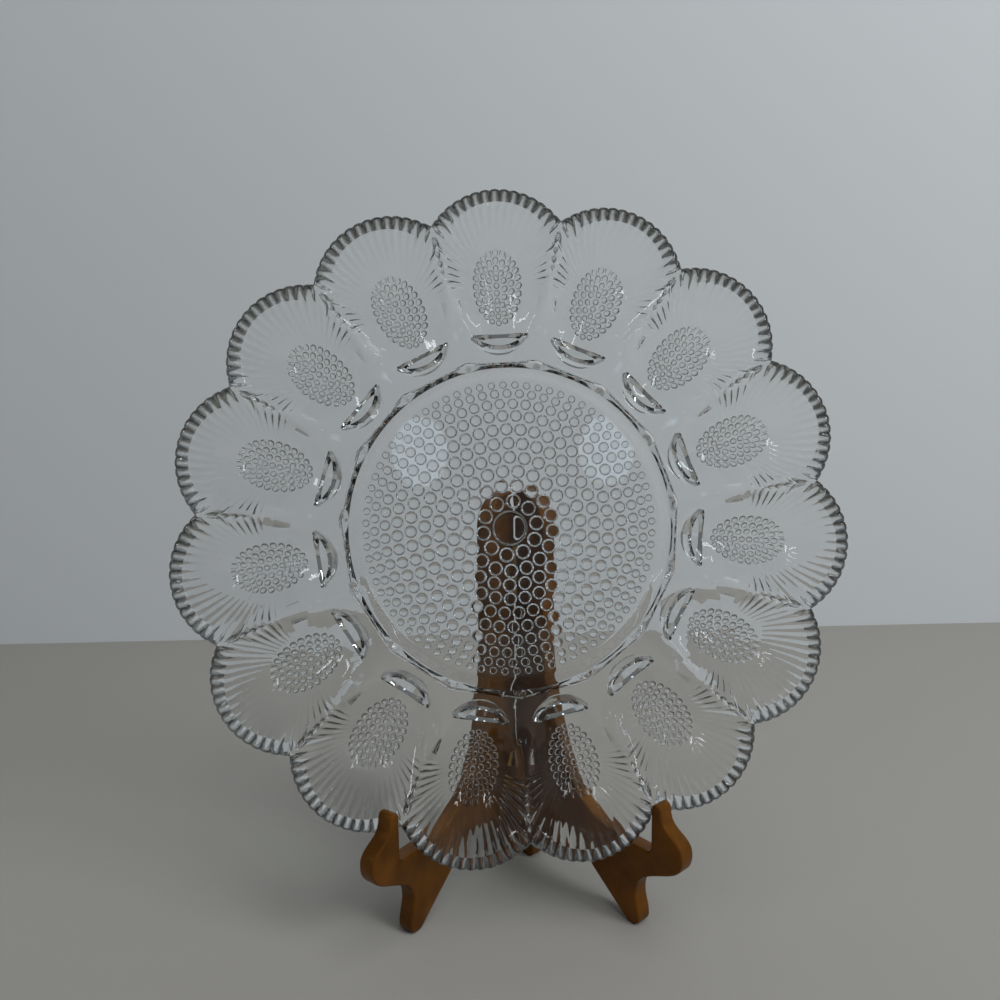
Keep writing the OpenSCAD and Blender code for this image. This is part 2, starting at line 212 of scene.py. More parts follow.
def top_z(p, s):
    """Height of the upper face at distance p along the well's axis and s beside it."""
    r, a = math.hypot(p, s), math.atan2(s, p)
    lip, out = petal_at(a, RIM_W), petal_at(a)
    if r >= lip:
        return PLATTER_H - RIM_DROP * smooth((r - lip) / (out - lip)) * 0.6
    well = bowl(r, a, FLOOR_Z, lip, PLATTER_H)
    land = LAND_H + climb(LAND_SLOPE * (p - RISE_P))
    return min(PLATTER_H, soft_min(well, land))


def under_z(p, s):
    """Height of the underside, without its relief."""
    r, a = math.hypot(p, s), math.atan2(s, p)
    out = petal_at(a)
    r = min(r, out)
    well = bowl(r, a, FOOT_H, out, EDGE_Z)
    land = LAND_UNDER + climb(LAND_SLOPE * (p - RISE_P))
    return max(FOOT_H, min(EDGE_Z, soft_min(well, land)))


def groove(phi):
    """0 along a flute's crest, 1 in the sharp groove between two flutes."""
    t = (phi / FLUTE_A + 0.5) % 1.0 * 2 - 1
    return 1 - math.sqrt(max(0.0, 1 - t * t * 0.98))


def wave(phi):
    """0 along a flute's crest, 1 between two flutes, with no sharp edge."""
    return 0.5 - 0.5 * math.cos(2 * math.pi * phi / FLUTE_A)


def scallop(phi):
    """Like groove, but 0 at the notch, where two petals meet."""
    return groove(phi) * smooth((CORNER - abs(phi)) / 0.06)


def ray_end(phi):
    """Distance from a well's centre to the edge of its wedge, and which edge it is."""
    c, s = math.cos(phi), math.sin(phi)
    best, kind = 1e9, ""
    # straight sides of the wedge
    for sign in (-1, 1):
        t = sign * math.tan(STEP / 2)
        den = s - t * c
        if abs(den) > 1e-9:
            d = t * WELL_R / den
            if d > 0 and d < best:
                best, kind = d, "side"
    # inner straight edge
    if c < 0:
        d = (LAND_P - WELL_R) / c
        if d < best - 1e-6:
            best, kind = d, "inner"
    # petal
    b = (WELL_R - PETAL_C) * c
    q = b * b - (WELL_R - PETAL_C) ** 2 + PETAL_R ** 2
    d = -b + math.sqrt(q)
    if abs(phi) < CORNER + 1e-9:
        best, kind = d, "petal"
    return best, kind


def oval_at(phi, grow=0.0):
    """Distance from a well's centre to its oval in direction phi."""
    a, b = WELL_L / 2 + grow, WELL_W / 2 + grow
    return a * b / math.hypot(b * math.cos(phi), a * math.sin(phi))


def ray_angles():
    """Directions from a well's centre, closer together over the flutes."""
    inner = math.atan2(LAND_P * math.tan(STEP / 2), LAND_P - WELL_R)
    fan, coarse, gap = math.radians(122), math.radians(3.5), 0.05
    count = int(fan * FLUTE_STEPS / FLUTE_A) + 1
    angles = [FLUTE_A * k / FLUTE_STEPS for k in range(count)]
    a = FLUTE_A * count / FLUTE_STEPS
    while a < math.pi - gap:
        angles.append(a)
        a += coarse
    # the notch and the land's corner are points of their own
    for special in (CORNER, inner):
        near = min(range(1, len(angles)), key=lambda i: abs(angles[i] - special))
        angles[near] = special
    return sorted([-a for a in angles if a > 0] + angles + [math.pi])


class Mesh:
    """Collects points and faces, joining points that fall together."""

    def __init__(self):
        self.points, self.faces, self.index = [], [], {}

    def add(self, x, y, z):
        """Number of the point, which is new unless one lies within half a micrometre."""
        key = (round(x * 2000), round(y * 2000), round(z * 2000))
        if key not in self.index:
            self.index[key] = len(self.points)
            self.points.append((x, y, z))
        return self.index[key]

    def face(self, *ids):
        """Adds a face, unless points that fell together leave none."""
        ids = [v for i, v in enumerate(ids) if v != ids[i - 1]]
        if len(set(ids)) == len(ids) and len(ids) > 2:
            self.faces.append(ids)


def wedge_point(k, p, s, z):
    """A point of wedge k in the flat platter."""
    a = STEP * k
    x, y = -s, p
    return x * math.cos(a) - y * math.sin(a), x * math.sin(a) + y * math.cos(a), z


def nail_spots(kit):
    """Centres of the hobnails under a well, in ovals one inside the other."""
    spots = []
    steps, margin, row = 720, 0.1, kit.nail_pitch * 0.95
    a, b = WELL_L / 2 - kit.nail_d / 2 - margin, WELL_W / 2 - kit.nail_d / 2 - margin
    while b > kit.nail_pitch * 0.55:
        ring = [(a * math.cos(2 * math.pi * i / steps), b * math.sin(2 * math.pi * i / steps))
                for i in range(steps + 1)]
        lengths = [0.0]
        for i in range(steps):
            lengths.append(lengths[-1] + math.dist(ring[i], ring[i + 1]))
        count = max(1, int(lengths[-1] / kit.nail_pitch))
        i = 0
        for n in range(count):
            while lengths[i + 1] < lengths[-1] * n / count:
                i += 1
            spots.append(ring[i])
        a, b = a - row, b - row
    if a > kit.nail_pitch / 2:
        n = int(2 * a / kit.nail_pitch) + 1
        spots += [((i - (n - 1) / 2) * kit.nail_pitch, 0.0) for i in range(n)]
    return spots


def dome(h, t):
    """Height of a hobnail at share t of its radius: a round knob, steep at its edge."""
    return h * (1 - t ** 2.2) ** 0.55


def table(h, t):
    """Height of the large middle hobnail: flat on top, with a round side."""
    fall = max(0.0, (t - FLAT_SHARE) / (1 - FLAT_SHARE))
    return h * math.sqrt(1 - fall * fall)


def triangulate(outline, domes, sides, rings):
    """Delaunay triangles over an outline with a ring of points round each dome."""
    points, edges, heights = [], [], []
    n = len(outline)
    for i, q in enumerate(outline):
        points.append(Vector(q))
        heights.append(0.0)
        edges.append((i, (i + 1) % n))
    for (cx, cy, d, h) in domes:
        big = d > BIG_D
        count = sides * 5 if big else sides
        for number, t in enumerate(MIDDLE_RINGS if big else rings):
            start = len(points)
            for i in range(count):
                a = 2 * math.pi * (i + 0.5 * (number % 2)) / count
                points.append(Vector((cx + t * d / 2 * math.cos(a), cy + t * d / 2 * math.sin(a))))
                heights.append(table(h, t) if big else dome(h, t))
                if t == 1.0:
                    edges.append((start + i, start + (i + 1) % count))
        points.append(Vector((cx, cy)))
        heights.append(h)
    out, _, faces, ids, _, _ = delaunay_2d_cdt(points, edges, [], 1, 1e-5)
    lift = [max((heights[j] for j in group), default=0.0) for group in ids]
    return [(q.x, q.y) for q in out], lift, [list(f) for f in faces]


def well_underside(kit, rays):
    """One wedge of the underside as local points (p, s, z) and faces."""
    local = Mesh()
    inner = [(oval_at(phi, OVAL_MARGIN) * math.cos(phi), oval_at(phi, OVAL_MARGIN) * math.sin(phi))
             for phi in rays]
    domes = [(x, y, kit.nail_d, kit.nail_h) for x, y in nail_spots(kit)]
    pts, lift, faces = triangulate(inner, domes, WELL_SIDES, WELL_RINGS)
    ids = [local.add(WELL_R + x, y, under_z(WELL_R + x, y) - z) for (x, y), z in zip(pts, lift)]
    for f in faces:
        local.face(*[ids[i] for i in reversed(f)])
    fan, fade = math.radians(105), math.radians(14)
    grid = []
    for phi in rays:
        end, kind = ray_end(phi)
        start = oval_at(phi, OVAL_MARGIN)
        fade_side = smooth((fan - abs(phi)) / fade)
        row = []
        for t in UNDER_SHARES:
            d = start + t * (end - start)
            ripple = kit.flute_depth * wave(phi) * smooth((t - 0.05) / 0.4)
            tooth = kit.tooth_depth * scallop(phi) * smooth((t - 0.55) / 0.45)
            if kind == "petal" and t == 1:
                d -= kit.rim_scallop * scallop(phi)
            p, s = WELL_R + d * math.cos(phi), d * math.sin(phi)
            z = under_z(p, s)
            if kind != "petal":
                # nothing at t = 1, so that neighbouring wedges meet
                crease = 0.3 * groove(phi) * smooth((t - 0.6) / 0.3)
                z += fade_side * (ripple + crease) * (t < 1)
            else:
                z = EDGE_Z + tooth if t == 1 else z + ripple + tooth
            row.append(local.add(p, s, z))
        grid.append(row)
    for i in range(len(rays)):
        a, b = grid[i], grid[(i + 1) % len(rays)]
        for j in range(len(UNDER_SHARES) - 1):
            local.face(a[j], b[j], b[j + 1], a[j + 1])
    return local


def well_top(kit, rays):
    """One wedge of the upper face with its rim, as local points (p, s, z) and faces."""
    local = Mesh()
    grid = []
    for phi in rays:
        end, kind = ray_end(phi)
        lip = end
        if kind == "petal":
            lip = end - RIM_W / max(0.6, math.cos(phi * 0.6))
        row = []
        for t in TOP_SHARES:
            d = t * lip
            p, s = WELL_R + d * math.cos(phi), d * math.sin(phi)
            row.append(local.add(p, s, top_z(p, s)))
        if kind == "petal":
            d = end - kit.rim_scallop * scallop(phi)
            low = EDGE_Z + kit.tooth_depth * scallop(phi)
            # the rim's upper edge is rounded, which makes the dark line round each petal
            edge = ((2.6, PLATTER_H), (1.4, PLATTER_H - 0.3), (0.5, PLATTER_H - 0.8),
                    (0.0, low + 0.3), (0.0, low))
            for back, z in edge:
                p, s = WELL_R + (d - back) * math.cos(phi), (d - back) * math.sin(phi)
                row.append(local.add(p, s, z))
        grid.append(row)
    for i in range(len(rays)):
        a, b = grid[i], grid[(i + 1) % len(rays)]
        # beside a notch the last step would lie in the seam between two wedges
        for j in range(max(len(a), len(b)) - (1 if len(a) == len(b) else 2)):
            ja, jb = min(j, len(a) - 1), min(j, len(b) - 1)
            ka, kb = min(j + 1, len(a) - 1), min(j + 1, len(b) - 1)
            local.face(a[ja], a[ka], b[kb], b[jb])
    return local


def inner_edge(rays):
    """Angles about the platter's middle of the points along a wedge's inner edge."""
    return [math.atan2(ray_end(phi)[0] * math.sin(phi), LAND_P)
            for phi in rays if ray_end(phi)[1] == "inner"] + [-STEP / 2, STEP / 2]


def build_platter(kit):
    """The platter without its feet: wells, land and dish, above and below."""
    rays = ray_angles()
    mesh = Mesh()
    for local in (well_underside(kit, rays), well_top(kit, rays)):
        for k in range(WELLS):
            ids = [mesh.add(*wedge_point(k, *q)) for q in local.points]
            for f in local.faces:
                mesh.face(*[ids[i] for i in f])
    # land between the wells and the dish, on both sides
    angles = sorted(set(round(a, 7) for a in inner_edge(rays)))
    ring = [(k, a) for k in range(WELLS) for a in angles[:-1]]
    circles = {}
    for side, radii in (("top", TOP_ROWS), ("under", UNDER_ROWS)):
        grid = []
        for k, a in ring:
            line = []
            for j, r in enumerate(radii):
                rr = r / math.cos(a) if r > SIDED_R else r
                p, s = rr * math.cos(a), rr * math.sin(a)
                if side == "top":
                    if r >= DISH_R:
                        z = top_z(p, s) - (LEDGE if j > 1 else 0)
                    else:
                        share = smooth((r - DISH_R + DISH_SIDE) / DISH_SIDE)
                        z = FLOOR_Z + (LAND_H - LEDGE - FLOOR_Z) * share
                else:
                    z = under_z(p, s) if j == 0 else UNDER_ZS[j - 1]
                line.append(mesh.add(*wedge_point(k, p, s, z)))
            grid.append(line)
        for i in range(len(grid)):
            a, b = grid[i], grid[(i + 1) % len(grid)]
            for j in range(len(radii) - 1):
                if side == "top":
                    mesh.face(a[j], b[j], b[j + 1], a[j + 1])
                else:
                    mesh.face(a[j], a[j + 1], b[j + 1], b[j])
        circles[side] = [line[-1] for line in grid]
    # dish floor: plain above, hobnails below
    middle = mesh.add(0, 0, FLOOR_Z)
    loop = circles["top"]
    half = []
    for k, a in ring:
        p, s = HALF_R * math.cos(a), HALF_R * math.sin(a)
        half.append(mesh.add(*wedge_point(k, p, s, FLOOR_Z)))
    for i in range(len(loop)):
        j = (i + 1) % len(loop)
        mesh.face(loop[i], loop[j], half[j], half[i])
        mesh.face(half[i], half[j], middle)
    outline = [mesh.points[i][:2] for i in circles["under"]]
    domes = [(0.0, 0.0, kit.middle_nail_d, kit.dish_nail_h)]
    twist, widest = 2.4, DISH_NAILS[0][1]
    for radius, wide, count in DISH_NAILS:
        for n in range(count):
            a = 2 * math.pi * n / count + twist * radius
            domes.append((radius * math.cos(a), radius * math.sin(a), wide,
                          kit.dish_nail_h * wide / widest))
    if (outline[1][0] - outline[0][0]) * outline[0][1] > 0:
        outline = outline[::-1]
    pts, lift, faces = triangulate(outline, domes, DISH_SIDES, DISH_RINGS)
    ids = [mesh.add(x, y, DISH_Z - z) for (x, y), z in zip(pts, lift)]
    for f in faces:
        mesh.face(*[ids[i] for i in reversed(f)])
    return mesh


def d_line(k, inset, z):
    """Outline of a D at height z: straight towards its well, round towards the dish."""
    length, wide = FOOT_L - 2.6 * inset, FOOT_W - 2 * inset
    big = ((length / 2) ** 2 + wide ** 2) / (2 * wide)
    half = math.asin(length / 2 / big)
    p0 = FOOT_R - FOOT_W + inset
    turns = [half - 2 * half * i / (D_POINTS - 1) for i in range(D_POINTS)]
    return [wedge_point(k, p0 + big - big * math.cos(a), big * math.sin(a), z) for a in turns]


def build_foot(k):
    """A D-shaped foot with sloping sides, which show as a dark outline."""
    n = D_POINTS
    rows = [d_line(k, FOOT_SLOPE, 0.0), d_line(k, 0.0, FOOT_SLOPE), d_line(k, 0.0, FOOT_TOP_Z)]
    faces = [list(range(n)), list(range(2 * n, 3 * n))[::-1]]
    for r in (0, n):
        faces += [[r + i, r + (i + 1) % n, r + n + (i + 1) % n, r + n + i] for i in range(n)]
    obj = new_object("foot", sum(rows, []), faces)
    outward(obj)
    return obj


def platter_matrix():
    """Place of the platter, from its own millimetres to the frame's metres."""
    return (Matrix.Translation((PLATTER_X * MM, (HINGE_Y + PLATTER_DY) * MM, PLATTER_Z * MM))
            @ Matrix.Rotation(math.pi / 2 - LEAN, 4, "X") @ Matrix.Rotation(TURN, 4, "Z")
            @ Matrix.Scale(MM * FIT, 4))


def new_object(name, points, faces):
    """A mesh object from points and faces."""
    data = bpy.data.meshes.new(name)
    data.from_pydata(points, [], faces)
    obj = bpy.data.objects.new(name, data)
    bpy.context.collection.objects.link(obj)
    return obj


def only(obj):
    """Leaves one object selected and active."""
    bpy.ops.object.select_all(action="DESELECT")
    obj.select_set(True)
    bpy.context.view_layer.objects.active = obj


def outward(obj):
    """Turns a closed mesh's normals outward."""
    only(obj)
    bpy.ops.object.mode_set(mode="EDIT")
    bpy.ops.mesh.select_all(action="SELECT")
    bpy.ops.mesh.normals_make_consistent(inside=False)
    bpy.ops.object.mode_set(mode="OBJECT")


# Materials

def node(tree, kind, x, y, **values):
    """A shader node at x, y with its inputs or settings."""
    n = tree.nodes.new(kind)
    n.location = (x, y)
    for key, value in values.items():
        if key in n.inputs:
            n.inputs[key].default_value = value
        else:
            setattr(n, key, value)
    return n


def fresh(name):
    """A new material with only its output node."""
    mat = bpy.data.materials.new(name)
    mat.use_nodes = True
    mat.node_tree.nodes.clear()
    out = node(mat.node_tree, "ShaderNodeOutputMaterial", 600, 0)
    return mat, mat.node_tree, out


def glass_material(kit):
    """Pressed soda-lime glass: clear when thin, grey-green where light runs far through it."""
    mat, tree, out = fresh("pressed_glass")
    base = node(tree, "ShaderNodeBsdfPrincipled", 300, 0, Roughness=0.015, IOR=1.52, Metallic=0.0)
    base.inputs["Base Color"].default_value = (1, 1, 1, 1)
    base.inputs["Transmission Weight"].default_value = 1.0
    depth = node(tree, "ShaderNodeVolumeAbsorption", 300, -400, Density=9.0)
    depth.inputs["Color"].default_value = (*kit.tint, 1)
    # light passes the glass instead of leaving a solid shadow behind it
    path = node(tree, "ShaderNodeLightPath", 0, 400)
    clear = node(tree, "ShaderNodeBsdfTransparent", 300, 300)
    clear.inputs["Color"].default_value = (0.86, 0.88, 0.87, 1)
    mix = node(tree, "ShaderNodeMixShader", 450, 100)
    tree.links.new(path.outputs["Is Shadow Ray"], mix.inputs["Fac"])
    tree.links.new(base.outputs["BSDF"], mix.inputs[1])
    tree.links.new(clear.outputs["BSDF"], mix.inputs[2])
    tree.links.new(mix.outputs["Shader"], out.inputs["Surface"])
    tree.links.new(depth.outputs["Volume"], out.inputs["Volume"])
    return mat


def bronze_material(kit):
    """Metallic bronze paint brushed over wood: satin, a little darker in patches."""
    mat, tree, out = fresh("brushed_bronze_paint")
    base = node(tree, "ShaderNodeBsdfPrincipled", 300, 0, Roughness=0.38, Metallic=0.6)
    base.inputs["Specular IOR Level"].default_value = 0.3
    place = node(tree, "ShaderNodeTexCoord", -700, 0)
    patches = node(tree, "ShaderNodeTexNoise", -400, 0, Scale=60.0, Detail=3.0)
    ramp = node(tree, "ShaderNodeValToRGB", -150, 0)
    ramp.color_ramp.elements[0].position = 0.35
    ramp.color_ramp.elements[0].color = (*kit.shade, 1)
    ramp.color_ramp.elements[1].position = 0.65
    ramp.color_ramp.elements[1].color = (*kit.bronze, 1)
    grain = node(tree, "ShaderNodeTexNoise", -400, -350, Scale=900.0, Detail=2.0)
    bump = node(tree, "ShaderNodeBump", 0, -350, Strength=0.12, Distance=0.0002)
    tree.links.new(place.outputs["Object"], patches.inputs["Vector"])
    tree.links.new(place.outputs["Object"], grain.inputs["Vector"])
    tree.links.new(patches.outputs["Fac"], ramp.inputs["Fac"])
    tree.links.new(ramp.outputs["Color"], base.inputs["Base Color"])
    tree.links.new(grain.outputs["Fac"], bump.inputs["Height"])
    tree.links.new(bump.outputs["Normal"], base.inputs["Normal"])
    tree.links.new(base.outputs["BSDF"], out.inputs["Surface"])
    return mat


def brass_material(kit):
    """Stamped brass sheet with a dull shine."""
    mat, tree, out = fresh("brass_sheet")
    base = node(tree, "ShaderNodeBsdfPrincipled", 300, 0, Roughness=0.32, Metallic=1.0)
    base.inputs["Base Color"].default_value = (*kit.brass, 1)
    tree.links.new(base.outputs["BSDF"], out.inputs["Surface"])
    return mat


def plain_material(name, tone, one_sided=False):
    """Matt paint. A one-sided wall lets views from behind pass through it."""
    mat, tree, out = fresh(name)
    base = node(tree, "ShaderNodeBsdfPrincipled", 0, 0, Roughness=0.85)
    base.inputs["Base Color"].default_value = (*tone, 1)
    if not one_sided:
        tree.links.new(base.outputs["BSDF"], out.inputs["Surface"])
        return mat
    side = node(tree, "ShaderNodeNewGeometry", 0, 300)
    clear = node(tree, "ShaderNodeBsdfTransparent", 0, -400)
    mix = node(tree, "ShaderNodeMixShader", 300, 0)
    tree.links.new(side.outputs["Backfacing"], mix.inputs["Fac"])
    tree.links.new(base.outputs["BSDF"], mix.inputs[1])
    tree.links.new(clear.outputs["BSDF"], mix.inputs[2])
    tree.links.new(mix.outputs["Shader"], out.inputs["Surface"])
    return mat


# Stand

def arc(c, r, a0, a1, steps=10):
    """Points on a circle about c from angle a0 to a1, in degrees."""
    turns = [math.radians(a0 + (a1 - a0) * i / steps) for i in range(steps + 1)]
    return [(c[0] + r * math.cos(a), c[1] + r * math.sin(a)) for a in turns]


def curve(p0, p1, p2, p3, steps=12):
    """Points on a cubic curve from p0 to p3, without p0 itself."""
    line = []
    for i in range(1, steps + 1):
        t = i / steps
        u = 1 - t
        w = (u ** 3, 3 * u * u * t, 3 * u * t * t, t ** 3)
        line.append(tuple(sum(k * q[j] for k, q in zip(w, (p0, p1, p2, p3))) for j in (0, 1)))
    return line


# Sizes of a board, in millimetres forward from the hinge axis (u) and up (z)
BOARD_H, BOARD_T, UPRIGHT, REACH = 178, 7.5, 19.3, 96.948
SEAT_Z, HOOK_Z, TIP_W, WALL_U = 35.5, 57, 4.8, 81.548
BELLY_Z, NECK_U, NECK_Z, ANKLE_U, ANKLE_Z = 39, 80, 24.5, 74, 15
TOP_FALL, TOP_HEEL = 16, 2
STRAIGHT_Z, RAMP_Z, RAMP_MID, RAMP_RUN, RAMP_STEEP = 140, 108, (32.5, 57), 4.5, 2.1
TOE_R, TOE_OUT, TOE_LONG, HEEL_R, SEAT_R = 3.6, 2, 6.5, 3.5, 3
ARCH_U, ARCH_START_Z, ARCH_TOP_U, ARCH_TOP_Z, ARCH_REAR_U = 50, 15, 32, 23, 11
FOLD_GAP, BACK_U = 0.25, 0.25
# Sizes of the hinges and screws
LEAF_U, LEAF_W, LEAF_T, LEAF_ROOT, WRAP_LOW, WRAP_HIGH = 1.85, 7, 0.8, 2.0, 0.1, 2.4
HINGE_H, KNUCKLE_D, KNUCKLE_GAP, PIN_D, PIN_PLAY = 24, 3.4, 0.3, 1.6, 0.05
PIN_HEAD_R, PIN_HEAD_H, PIN_BEVEL, RECESS_GAP = 1.3, 0.8, 0.2, 1.1
SCREW_HEAD_D, SCREW_HEAD_H, SCREW_BEVEL = 3.2, 0.9, 0.3
SCREW_N = FOLD_GAP + BOARD_T / 2 + 0.425
SHANK_R, SHANK_L = 0.8, 8.0
HINGES = (("upper", 140), ("lower", 45))


def board_outline():
    """Outline of a board as points (u, z), from the rear of its top round the front."""
    tip = TIP_W / 2
    tip_c = (WALL_U + tip, HOOK_Z - tip)
    front = (tip_c[0] + tip, tip_c[1])
    belly, neck, ankle = (REACH, BELLY_Z), (NECK_U, NECK_Z), (ANKLE_U, ANKLE_Z)
    toe_c, sole_c = (ANKLE_U + TOE_OUT - TOE_R, TOE_R), (ANKLE_U - TOE_LONG + TOE_R, TOE_R)
    sole_a = math.degrees(math.atan2(ARCH_START_Z - TOE_R, sole_c[0] - ARCH_U))
    seat = (0.8 * WALL_U, SEAT_Z)
    ramp, mid, run = (UPRIGHT, RAMP_Z), RAMP_MID, (RAMP_RUN, -RAMP_RUN * RAMP_STEEP)
    rear, brow = (BACK_U + TOP_HEEL, BOARD_H), (UPRIGHT, BOARD_H - TOP_FALL)
    # top, front of the upright and ramp
    line = arc((BACK_U + TOP_HEEL, BOARD_H - TOP_HEEL), TOP_HEEL, 180, 90, 5)
    line += curve(rear, (rear[0] + 0.55 * (UPRIGHT - rear[0]), BOARD_H),
                  (UPRIGHT, brow[1] + 0.55 * TOP_FALL), brow)
    line += [(UPRIGHT, STRAIGHT_Z), ramp]
    line += curve(ramp, (UPRIGHT, RAMP_Z - 0.35 * (RAMP_Z - mid[1])),
                  (mid[0] - run[0], mid[1] - run[1]), mid)
    line += curve(mid, (mid[0] + run[0], mid[1] + run[1]),
                  (seat[0] - 0.56 * (seat[0] - mid[0]), SEAT_Z), seat)
    # seat and hook
    line += arc((WALL_U - SEAT_R, SEAT_Z + SEAT_R), SEAT_R, -90, 0, 6)
    line += arc(tip_c, tip, 180, 0, 8)
    line += curve(front, (front[0], front[1] - 0.55 * (HOOK_Z - BELLY_Z)),
                  (REACH, BELLY_Z + 0.5 * (HOOK_Z - BELLY_Z)), belly)
    # belly, neck and front foot
    line += curve(belly, (REACH, BELLY_Z - 0.6 * (BELLY_Z - NECK_Z)),
                  (NECK_U + 0.5 * (REACH - NECK_U), NECK_Z + 0.35 * (BELLY_Z - NECK_Z)), neck)
    line += curve(neck, (NECK_U - 0.6 * (NECK_U - ANKLE_U), NECK_Z - 0.2 * (NECK_Z - ANKLE_Z)),
                  (ANKLE_U, ANKLE_Z + 0.5 * (NECK_Z - ANKLE_Z)), ankle)
    line += curve(ankle, (ANKLE_U, ANKLE_Z - 0.4 * (ANKLE_Z - TOE_R)),
                  (toe_c[0] + TOE_R, TOE_R + 0.4 * (ANKLE_Z - TOE_R)), (toe_c[0] + TOE_R, TOE_R))
    line += arc(toe_c, TOE_R, 0, -90, 6)[1:]
    line += arc(sole_c, TOE_R, -90, -90 - sole_a, 6)
    # arch and rear foot
    arch, crown, end = (ARCH_U, ARCH_START_Z), (ARCH_TOP_U, ARCH_TOP_Z), (ARCH_REAR_U, HEEL_R)
    line += [arch]
    line += curve(arch, (ARCH_U - 0.4 * (ARCH_U - ARCH_TOP_U), ARCH_TOP_Z),
                  (ARCH_TOP_U + 0.1 * (ARCH_U - ARCH_TOP_U), ARCH_TOP_Z), crown)
    line += curve(crown, (ARCH_REAR_U + 0.35 * (ARCH_TOP_U - ARCH_REAR_U), ARCH_TOP_Z),
                  (ARCH_REAR_U, 0.75 * ARCH_TOP_Z), end)
    line += arc((ARCH_REAR_U - HEEL_R, HEEL_R), HEEL_R, 0, -90, 6)[1:]
    line += arc((BACK_U + HEEL_R, HEEL_R), HEEL_R, -90, -180, 6)
    return line


def half_matrix(side):
    """Place of one half of the stand: local X runs forward along the board, Y out of it."""
    m = Matrix.Rotation(OPEN - math.pi / 2, 4, "Z")
    if side < 0:
        m = Matrix.Scale(-1, 4, (1, 0, 0)) @ m
    return Matrix.Translation((STAND_X * MM, HINGE_Y * MM, 0)) @ m @ Matrix.Scale(MM, 4)


def set_in_place(obj, matrix):
    """Moves a mesh's points, and keeps its normals outward where the matrix mirrors."""
    obj.data.transform(matrix)
    if matrix.determinant() < 0:
        obj.data.flip_normals()
    obj.data.update()


def build_board(side, kit):
    """One board of the stand: side is -1 for the left one and 1 for the right one."""
    name = ("left" if side < 0 else "right") + "_board_painted"
    line = board_outline()
    obj = new_object(name, [(u, FOLD_GAP, z) for u, z in line], [list(range(len(line)))])
    only(obj)
    bpy.ops.object.mode_set(mode="EDIT")
    bpy.ops.mesh.select_all(action="SELECT")
    bpy.ops.mesh.extrude_region_move(TRANSFORM_OT_translate={"value": (0, BOARD_T, 0)})
    bpy.ops.mesh.select_all(action="SELECT")
    bpy.ops.mesh.normals_make_consistent(inside=False)
    bpy.ops.object.mode_set(mode="OBJECT")
    # both flat faces' outlines are rounded, except along the hinges, where the boards meet
    mesh = obj.data
    bpy.ops.object.mode_set(mode="EDIT")
    bpy.ops.mesh.select_all(action="DESELECT")
    bpy.ops.mesh.select_mode(type="EDGE")
    bm = bmesh.from_edit_mesh(mesh)
    for e in bm.edges:
        a, b = e.verts
        meets = max(a.co.x, b.co.x) < BACK_U + 0.01 and a.co.y < 1
        e.select = abs(a.co.y - b.co.y) < 1e-6 and not meets
    bmesh.update_edit_mesh(mesh)
    bpy.ops.mesh.bevel(offset=kit.edge_round, offset_type="OFFSET", segments=5, profile=0.5,
                       clamp_overlap=True)
    bpy.ops.object.mode_set(mode="OBJECT")
    for _, mid in HINGES:
        half = HINGE_H / 2 + RECESS_GAP
        cut = add_box("cut", (-1, -1, mid - half), (LEAF_U, BOARD_T + 2, mid + half), 0)
        only(obj)
        mod = obj.modifiers.new("recess", "BOOLEAN")
        mod.operation, mod.solver, mod.object = "DIFFERENCE", "EXACT", cut
        bpy.ops.object.modifier_apply(modifier=mod.name)
        bpy.data.objects.remove(cut)
    set_in_place(obj, half_matrix(side))
    bpy.ops.object.shade_smooth_by_angle(angle=SHADE_BOARD)
    return obj


def add_cylinder(name, r, h, place, axis="Z", sides=32, bevel=0.0):
    """A cylinder whose lower end stands at place, in millimetres of the local frame."""
    bpy.ops.object.select_all(action="DESELECT")
    bpy.ops.mesh.primitive_cylinder_add(vertices=sides, radius=r, depth=h, location=(0, 0, 0))
    obj = bpy.context.active_object
    obj.name = name
    if bevel:
        mod = obj.modifiers.new("edge", "BEVEL")
        mod.width, mod.segments, mod.limit_method = bevel, 3, "ANGLE"
        bpy.ops.object.modifier_apply(modifier=mod.name)
    m = Matrix.Translation((0, 0, h / 2))
    if axis == "X":
        m = Matrix.Rotation(math.pi / 2, 4, "Y") @ m
    obj.data.transform(Matrix.Translation(place) @ m)
    obj.matrix_world = Matrix.Identity(4)
    return obj


def add_tube(name, r, bore, h, place, sides=32):
    """An upright tube whose lower end stands at place."""
    points, faces = [], []
    for radius, z in ((r, 0), (r, h), (bore, h), (bore, 0)):
        points += [(place[0] + radius * math.cos(2 * math.pi * i / sides),
                    place[1] + radius * math.sin(2 * math.pi * i / sides), place[2] + z)
                   for i in range(sides)]
    for ring in range(4):
        a, b = ring * sides, (ring + 1) % 4 * sides
        faces += [[a + i, a + (i + 1) % sides, b + (i + 1) % sides, b + i] for i in range(sides)]
    return new_object(name, points, faces)


def add_box(name, low, high, bevel=0.15):
    """A box between two corners."""
    bpy.ops.object.select_all(action="DESELECT")
    bpy.ops.mesh.primitive_cube_add(size=1, location=(0, 0, 0))
    obj = bpy.context.active_object
    obj.name = name
    span = [h - l for l, h in zip(low, high)]
    mid = [(h + l) / 2 for l, h in zip(low, high)]
    obj.data.transform(Matrix.Translation(mid) @ Matrix.Diagonal((*span, 1)))
    obj.matrix_world = Matrix.Identity(4)
    if bevel:
        mod = obj.modifiers.new("edge", "BEVEL")
        mod.width, mod.segments = bevel, 2
        bpy.ops.object.modifier_apply(modifier=mod.name)
    return obj


def join(name, parts):
    """Joins objects into one."""
    bpy.ops.object.select_all(action="DESELECT")
    for o in parts:
        o.select_set(True)
    bpy.context.view_layer.objects.active = parts[0]
    bpy.ops.object.join()
    obj = bpy.context.active_object
    obj.name = name
    return obj


